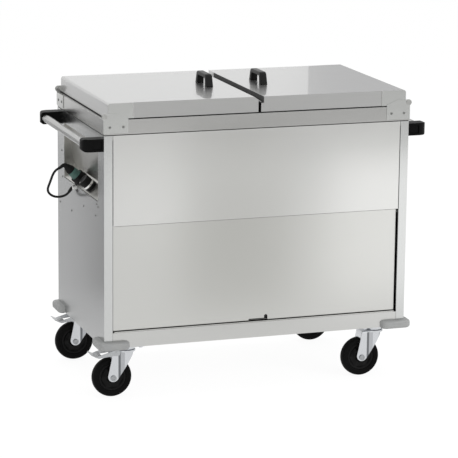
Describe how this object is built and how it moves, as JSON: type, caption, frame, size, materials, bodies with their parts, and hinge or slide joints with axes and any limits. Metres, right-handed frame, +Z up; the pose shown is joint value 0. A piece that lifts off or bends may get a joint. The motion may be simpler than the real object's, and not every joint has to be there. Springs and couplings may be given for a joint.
{
  "type": "heated serving trolley",
  "caption": "Stainless serving trolley with heated wells under folding lids, a pocket door, push handles, corner bumpers, swivel castors and a mains lead parked in a control niche.",
  "frame": {"origin": "on the floor under the middle of the cabinet", "axes": "+X along the length towards the end without controls, +Y to the back, +Z up; the door faces -Y"},
  "size_m": [1.1401, 0.585, 0.963],
  "materials": {
    "stainless": "brushed",
    "stainless_bright": "polished",
    "zinc": "zinc plated",
    "chrome": "bright",
    "heater_rod": "oxidised",
    "black_plastic": "moulded",
    "grey_plastic": "moulded",
    "green_plastic": "moulded",
    "nylon": "moulded",
    "rubber": "matt",
    "tyre": "matt"
  },
  "bodies": {
    "cabinet": {"base_pan": "stainless", "end_panel_left": "stainless", "end_panel_right": "stainless", "niche_pan": "stainless_bright", "back_panel": "stainless", "front_panel": "stainless", "top_frame": "stainless", "well_left": "stainless_bright", "well_right": "stainless_bright", "heaters": "heater_rod", "cupboard_ceiling": "stainless", "cupboard_floor": "stainless", "cupboard_liner": "stainless", "door_rails": "zinc", "hinge_plates": "stainless", "hinge_pins": "chrome", "screws": "zinc", "handle_brackets": "black_plastic", "handle_tubes": "stainless_bright", "corner_bumpers": "grey_plastic", "castor_plates": "zinc", "thermostat": "zinc", "parking_socket": "black_plastic", "plug": "green_plastic", "plug_grip": "black_plastic", "cord": "rubber", "cord_gland": "chrome", "lid_seal": "rubber"},
    "door_carriage": {"door_axle": "zinc", "door_glides": "nylon"},
    "door": {"door_panel": "stainless", "door_liner": "stainless"},
    "lid_left": {"lid_shell_left": "stainless", "lid_inner_left": "stainless_bright", "lid_ears_left": "stainless", "lid_handle_left": "black_plastic"},
    "lid_right": {"lid_shell_right": "stainless", "lid_inner_right": "stainless_bright", "lid_ears_right": "stainless", "lid_handle_right": "black_plastic"},
    "swivel_fl": {"castor_fork_fl": "zinc", "castor_axle_fl": "zinc"},
    "swivel_fr": {"castor_fork_fr": "zinc", "castor_axle_fr": "zinc"},
    "swivel_rl": {"castor_fork_rl": "zinc", "castor_axle_rl": "zinc"},
    "swivel_rr": {"castor_fork_rr": "zinc", "castor_axle_rr": "zinc"},
    "wheel_fl": {"castor_tyre_fl": "tyre", "castor_hub_fl": "black_plastic"},
    "wheel_fr": {"castor_tyre_fr": "tyre", "castor_hub_fr": "black_plastic"},
    "wheel_rl": {"castor_tyre_rl": "tyre", "castor_hub_rl": "black_plastic"},
    "wheel_rr": {"castor_tyre_rr": "tyre", "castor_hub_rr": "black_plastic"},
    "pedal_fl": {"brake_pedal_fl": "zinc"},
    "pedal_rl": {"brake_pedal_rl": "zinc"},
    "knob": {"knob": "black_plastic", "knob_ring": "chrome"}
  },
  "joints": [
    {"name": "lid_left_hinge", "type": "hinge", "parent": "cabinet", "child": "lid_left", "pos_m": [-0.493, 0, 0.8855], "axis": [0, -1, 0], "range_deg": [0, 180]},
    {"name": "lid_right_hinge", "type": "hinge", "parent": "cabinet", "child": "lid_right", "pos_m": [0.493, 0, 0.8855], "axis": [0, 1, 0], "range_deg": [0, 180]},
    {"name": "door_slide", "type": "slide", "parent": "cabinet", "child": "door_carriage", "axis": [0, 1, 0], "range_m": [0, 0.31]},
    {"name": "door_swing", "type": "hinge", "parent": "door_carriage", "child": "door", "pos_m": [0, -0.2535, 0.536], "axis": [-1, 0, 0], "range_deg": [0, 90]},
    {"name": "knob_turn", "type": "hinge", "parent": "cabinet", "child": "knob", "pos_m": [-0.47725, -0.07, 0.631], "axis": [-0.7308, 0, 0.6826], "range_deg": [-270, 0]},
    {"name": "swivel_fl_turn", "type": "hinge", "parent": "cabinet", "child": "swivel_fl", "pos_m": [-0.412, -0.222, 0.15], "axis": [0, 0, 1], "continuous": true},
    {"name": "swivel_fr_turn", "type": "hinge", "parent": "cabinet", "child": "swivel_fr", "pos_m": [0.412, -0.222, 0.15], "axis": [0, 0, 1], "continuous": true},
    {"name": "swivel_rl_turn", "type": "hinge", "parent": "cabinet", "child": "swivel_rl", "pos_m": [-0.412, 0.222, 0.15], "axis": [0, 0, 1], "continuous": true},
    {"name": "swivel_rr_turn", "type": "hinge", "parent": "cabinet", "child": "swivel_rr", "pos_m": [0.412, 0.222, 0.15], "axis": [0, 0, 1], "continuous": true},
    {"name": "wheel_fl_roll", "type": "hinge", "parent": "swivel_fl", "child": "wheel_fl", "pos_m": [-0.458, -0.222, 0.0625], "axis": [0, 1, 0], "continuous": true},
    {"name": "wheel_fr_roll", "type": "hinge", "parent": "swivel_fr", "child": "wheel_fr", "pos_m": [0.366, -0.222, 0.0625], "axis": [0, 1, 0], "continuous": true},
    {"name": "wheel_rl_roll", "type": "hinge", "parent": "swivel_rl", "child": "wheel_rl", "pos_m": [-0.458, 0.222, 0.0625], "axis": [0, 1, 0], "continuous": true},
    {"name": "wheel_rr_roll", "type": "hinge", "parent": "swivel_rr", "child": "wheel_rr", "pos_m": [0.366, 0.222, 0.0625], "axis": [0, 1, 0], "continuous": true},
    {"name": "brake_fl_press", "type": "hinge", "parent": "swivel_fl", "child": "pedal_fl", "pos_m": [-0.447, -0.222, 0.143], "axis": [0, -1, 0], "range_deg": [0, 10]},
    {"name": "brake_rl_press", "type": "hinge", "parent": "swivel_rl", "child": "pedal_rl", "pos_m": [-0.447, 0.222, 0.143], "axis": [0, -1, 0], "range_deg": [0, 10]}
  ]
}
